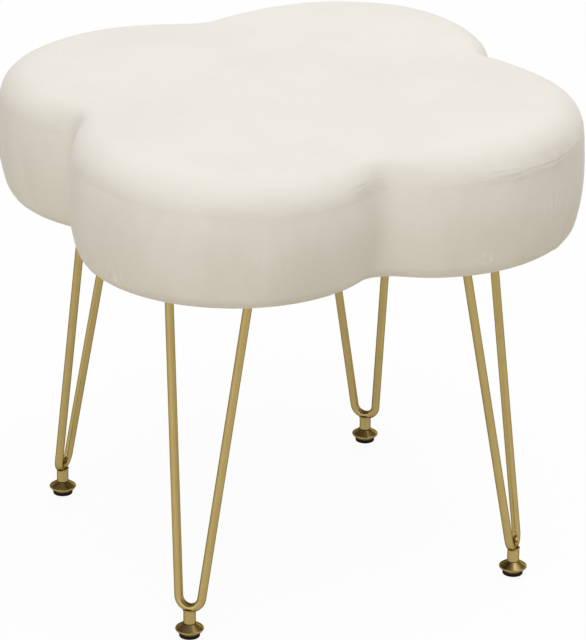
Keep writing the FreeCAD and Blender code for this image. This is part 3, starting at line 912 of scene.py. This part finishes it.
def white_floor():
    """A white floor that keeps the shadow and is seen through from below."""
    corners = [(FLOOR_REACH * x, FLOOR_REACH * y, -GLIDE_TRAVEL)
               for x, y in ((-1, -1), (1, -1), (1, 1), (-1, 1))]
    mesh = new_mesh("floor", corners, [(0, 1, 2, 3)])
    new_object("floor", mesh)

    finish = Finish("white_floor", specular_ior_level=0.0)
    mirrored = finish.ray("Glossy")
    seen_directly = finish.ray("Camera") + finish.ray("Transmission")
    finish.surface(finish.mix(seen_directly + mirrored, rgb(*FLOOR_BOUNCE), rgb(1, 1, 1)), 0.9)
    glow = finish.node("Emission", inputs={"Color": rgb(1, 1, 1), "Strength": 1.0})
    clear = finish.node("BsdfTransparent")
    below = finish.node("NewGeometry", output="Backfacing")
    glowing = FLOOR_GLOW * seen_directly + FLOOR_GLOW_MIRRORED * mirrored
    lit = finish.mix_shaders(glowing, Value(finish, finish.shader.outputs[0]), glow)
    finish.show("Material Output", finish.mix_shaders(below, lit, clear))
    mesh.materials.append(finish.material)


def dark_band():
    """A grey band round the studio that only metal shows, open at the right like a window."""
    rows = []
    for elevation in np.radians(BAND_ELEVATIONS):
        reach, height = BAND_RADIUS * math.cos(elevation), BAND_RADIUS * math.sin(elevation)
        rows.append([(reach * math.cos(a), reach * math.sin(a), height) for a in np.radians(BAND_AZIMUTHS)])
    mesh = ring_mesh("dark_band", np.array(rows), closed=False)
    band = new_object("dark_band", mesh)
    for ray in ("camera", "diffuse", "transmission", "shadow"):
        setattr(band, "visible_" + ray, False)
    cloth = Finish("grey_cloth", specular_ior_level=0.0, base_color=rgb(0.2, 0.2, 0.2))
    mesh.materials.append(cloth.material)


def white_room():
    """Even light from all round, and a white backdrop for the camera, in metal and through glass."""
    world = bpy.data.worlds.new("studio")
    bpy.context.scene.world = world
    world.use_nodes = True
    nodes = Nodes(world.node_tree)
    room = nodes.node("Background", inputs={"Color": rgb(1.0, 0.99, 0.97), "Strength": ROOM_LIGHT})
    backdrop = nodes.node("Background", inputs={"Color": rgb(1, 1, 1), "Strength": 1.0})
    mirrored = nodes.math("MAXIMUM", nodes.ray("Glossy"), nodes.ray("Transmission"))
    shown = nodes.math("MAXIMUM", nodes.ray("Camera"), mirrored)
    nodes.show("World Output", nodes.mix_shaders(shown, room, backdrop))


def add_lamp(name, kind, strength, place, target):
    """Hang a lamp at a place, turned to a target."""
    lamp = bpy.data.lights.new(name, kind)
    lamp.energy = strength
    holder = new_object(name, lamp)
    holder.location = place
    holder.rotation_euler = (Vector(place) - Vector(target)).to_track_quat("Z", "Y").to_euler()
    return lamp


def lamps():
    """A softbox above the seat, and broad light from high in front, from behind and from low in front."""
    softbox = add_lamp("overhead_softbox", "AREA", SOFTBOX_POWER, SOFTBOX_PLACE, (0, 0, SEAT_TOP))
    softbox.shape = "DISK"
    softbox.size = SOFTBOX_SIZE
    for name, strength, spread, colour, direction in SUNS:
        sun = add_lamp(name, "SUN", strength, direction, (0, 0, 0))
        sun.angle = math.radians(spread)
        sun.color = colour


def photo_camera():
    """The camera of the photograph."""
    azimuth = math.radians(20.80)
    elevation = math.radians(22.32)
    roll = math.radians(0.70)
    distance = 2785.4 * MM
    aim_right = 6.6 * MM
    aim_height = 191.4 * MM
    right = Vector((math.cos(azimuth), math.sin(azimuth), 0))
    back = Vector((math.sin(azimuth) * math.cos(elevation), -math.cos(azimuth) * math.cos(elevation),
                   math.sin(elevation)))
    up = back.cross(right)
    tilted_right = math.cos(roll) * right + math.sin(roll) * up
    tilted_up = math.cos(roll) * up - math.sin(roll) * right
    target = aim_right * right + Vector((0, 0, aim_height))
    lens = bpy.data.cameras.new("photo_camera")
    lens.sensor_width = 36
    lens.lens = 192.3
    lens.clip_end = 60
    camera = new_object("photo_camera", lens)
    axes = Matrix((tilted_right, tilted_up, back)).transposed().to_4x4()
    camera.matrix_world = Matrix.Translation(target + distance * back) @ axes
    bpy.context.scene.camera = camera


photo_camera()
finish_packed_nodes()
cover_pieces()
lining_piece()
weld_beads()
threaded_studs()
white_floor()
dark_band()
white_room()
lamps()
bpy.context.scene.view_settings.view_transform = "Standard"
